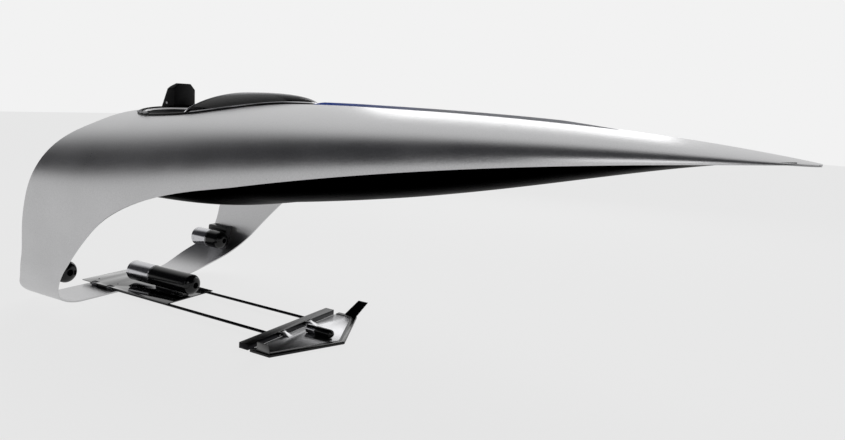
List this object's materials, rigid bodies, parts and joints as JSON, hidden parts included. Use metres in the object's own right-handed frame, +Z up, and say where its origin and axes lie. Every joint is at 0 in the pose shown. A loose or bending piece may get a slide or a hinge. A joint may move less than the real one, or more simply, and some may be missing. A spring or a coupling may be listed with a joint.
{
  "type": "electric water craft",
  "caption": "One-seat open-cockpit underwater scooter craft: turtle-back hull on a stern hoop, ducted electric thrusters inside the hoop and a foil ahead on sliding rails.",
  "frame": {"origin": "on the ground plane, under the middle of the stern hoop's crossing, on the centre plane", "axes": "+X forward to the nose, +Y to port, +Z up"},
  "size_m": [5.318, 1.9736, 1.765],
  "materials": {
    "hull_metal": "satin",
    "frame_metal": "matte",
    "belly_black": "gloss",
    "lip_metal": "satin",
    "ridge_enamel": "gloss",
    "plate_black": "gloss",
    "bracket_black": "satin",
    "rail_anodised": "satin",
    "bearing_metal": "satin",
    "duct_chrome": "polished",
    "nacelle_black": "gloss",
    "motor_case": "matte",
    "rotor_metal": "polished",
    "tub_black": "matte",
    "bulkhead_black": "matte",
    "coaming_rubber": "matte",
    "clip_steel": "satin",
    "windscreen_tint": "gloss",
    "dash_grey": "satin",
    "gauge_chrome": "polished",
    "gauge_glass": "gloss",
    "button_red": "gloss",
    "seat_leather": "satin",
    "headrest_black": "satin",
    "grip_rubber": "matte",
    "steering_black": "satin",
    "battery_case": "matte",
    "foil_metal": "satin",
    "foil_black": "gloss"
  },
  "bodies": {
    "craft": {"centre_duct": "duct_chrome", "centre_motor": "motor_case", "centre_nacelle": "nacelle_black", "centre_pylon": "plate_black", "coaming": "coaming_rubber", "coaming_latches": "clip_steel", "cockpit_tub": "tub_black", "dashboard": "dash_grey", "deck_ridge": "ridge_enamel", "deck_shell": "hull_metal", "gauge_bezels": "gauge_chrome", "gauge_lenses": "gauge_glass", "headrest": "headrest_black", "headrest_bolts": "clip_steel", "hoop_crossing": "hull_metal", "hull_bottom": "belly_black", "hull_ribs": "frame_metal", "lower_lip": "lip_metal", "motor_controllers": "battery_case", "port_battery": "battery_case", "port_bracket": "bracket_black", "port_leg": "hull_metal", "rail_bearings": "bearing_metal", "seat_backrest": "seat_leather", "seat_cushion": "seat_leather", "sled_bolts": "clip_steel", "sled_chock": "plate_black", "sled_plate": "plate_black", "starboard_battery": "battery_case", "starboard_bracket": "bracket_black", "starboard_leg": "hull_metal", "steering_column": "steering_black", "tunnel_bulkhead": "bulkhead_black", "upper_lip": "lip_metal", "windscreen": "windscreen_tint"},
    "carriage": {"port_rail": "rail_anodised", "starboard_rail": "rail_anodised", "trailing_beam": "rail_anodised", "foil_pivot_pins": "clip_steel"},
    "foil": {"foil_panel": "foil_metal", "foil_rim": "foil_black", "foil_winglets": "foil_black", "foil_pod": "foil_black", "foil_pod_cap": "duct_chrome"},
    "port_pod": {"port_duct": "duct_chrome", "port_nacelle": "nacelle_black", "port_motor": "motor_case", "port_pivot": "clip_steel"},
    "starboard_pod": {"starboard_duct": "duct_chrome", "starboard_nacelle": "nacelle_black", "starboard_motor": "motor_case", "starboard_pivot": "clip_steel"},
    "port_propeller": {"port_rotor": "rotor_metal"},
    "starboard_propeller": {"starboard_rotor": "rotor_metal"},
    "centre_propeller": {"centre_rotor": "rotor_metal"},
    "yoke": {"steering_yoke": "steering_black", "hand_grips": "grip_rubber"},
    "throttle": {"throttle_trigger": "steering_black"},
    "button": {"stop_button": "button_red"}
  },
  "joints": [
    {"name": "carriage_slide", "type": "slide", "parent": "craft", "child": "carriage", "axis": [1, 0, 0], "range_m": [-0.3, 0]},
    {"name": "foil_tilt", "type": "hinge", "parent": "carriage", "child": "foil", "pos_m": [2.026, 0, 0.029], "axis": [0, 1, 0], "range_deg": [-15, 8]},
    {"name": "port_tilt", "type": "hinge", "parent": "craft", "child": "port_pod", "pos_m": [0.356, 0.777, 0.33], "axis": [0, 1, 0], "range_deg": [-8, 25]},
    {"name": "starboard_tilt", "type": "hinge", "parent": "craft", "child": "starboard_pod", "pos_m": [0.356, -0.777, 0.33], "axis": [0, 1, 0], "range_deg": [-8, 25]},
    {"name": "port_spin", "type": "hinge", "parent": "port_pod", "child": "port_propeller", "pos_m": [0.18, 0.777, 0.33], "axis": [1, 0, 0], "continuous": true},
    {"name": "starboard_spin", "type": "hinge", "parent": "starboard_pod", "child": "starboard_propeller", "pos_m": [0.18, -0.777, 0.33], "axis": [1, 0, 0], "continuous": true},
    {"name": "centre_spin", "type": "hinge", "parent": "craft", "child": "centre_propeller", "pos_m": [0.25, 0, 0.1525], "axis": [1, 0, 0], "continuous": true},
    {"name": "yoke_turn", "type": "hinge", "parent": "craft", "child": "yoke", "pos_m": [1.505, 0, 1.4], "axis": [1, 0, 0], "range_deg": [-60, 60]},
    {"name": "throttle_pull", "type": "hinge", "parent": "yoke", "child": "throttle", "pos_m": [1.54, -0.153, 1.4], "axis": [0, -1, 0], "range_deg": [0, 18], "stiffness_Nm_per_rad": 0.3, "springref_deg": -11.46},
    {"name": "stop_press", "type": "slide", "parent": "craft", "child": "button", "axis": [0.6866, 0, -0.727], "range_m": [0, 0.004], "stiffness_N_per_m": 400, "springref_m": -0.002}
  ]
}
